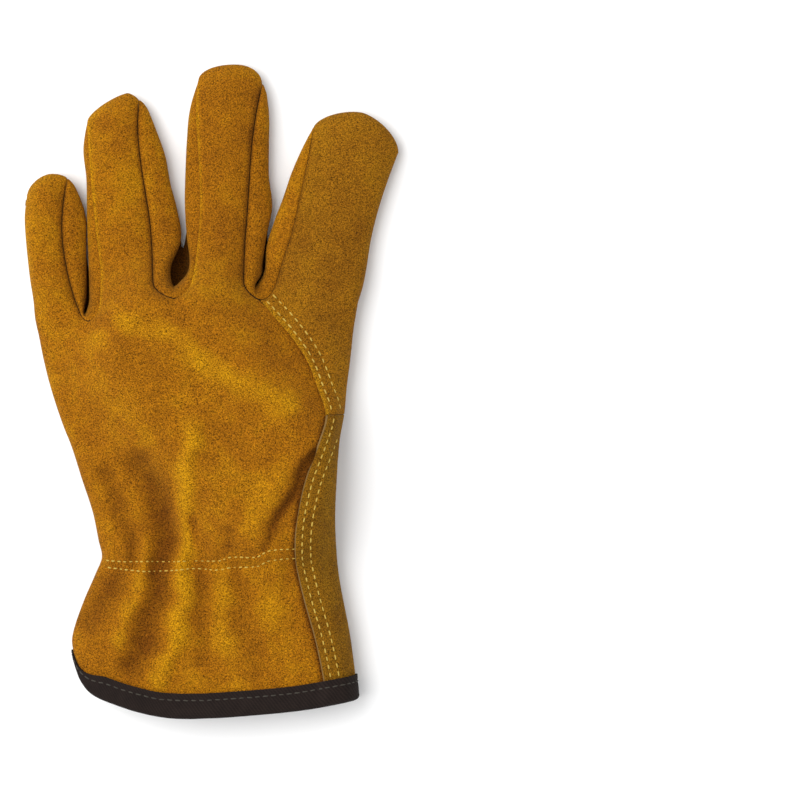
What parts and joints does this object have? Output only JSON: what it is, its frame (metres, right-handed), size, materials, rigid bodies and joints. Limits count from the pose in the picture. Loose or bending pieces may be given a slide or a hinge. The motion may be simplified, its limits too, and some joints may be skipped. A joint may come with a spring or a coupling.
{
  "type": "leather driver glove",
  "caption": "Split-suede driver glove lying flat, back up: wrapped index finger, lapped thumb-side strip, gathered wrist, dark bound cuff, thumb folded under.",
  "frame": {"origin": "middle of the glove's footprint, on the surface it lies on", "axes": "+Y from the cuff to the fingertips, +X to the thumb side, +Z out of the back of the hand"},
  "size_m": [0.1428, 0.2492, 0.0296],
  "materials": {
    "suede": "brushed split suede",
    "tape": "matt woven tape"
  },
  "bodies": {
    "root": {"back_panel": "suede", "palm_panel": "suede", "side_strip": "suede", "fourchette_little_ring": "suede", "fourchette_ring_middle": "suede", "fourchette_middle_index": "suede", "thumb_back": "suede", "thumb_front": "suede", "cuff_binding": "tape"}
  },
  "joints": []
}
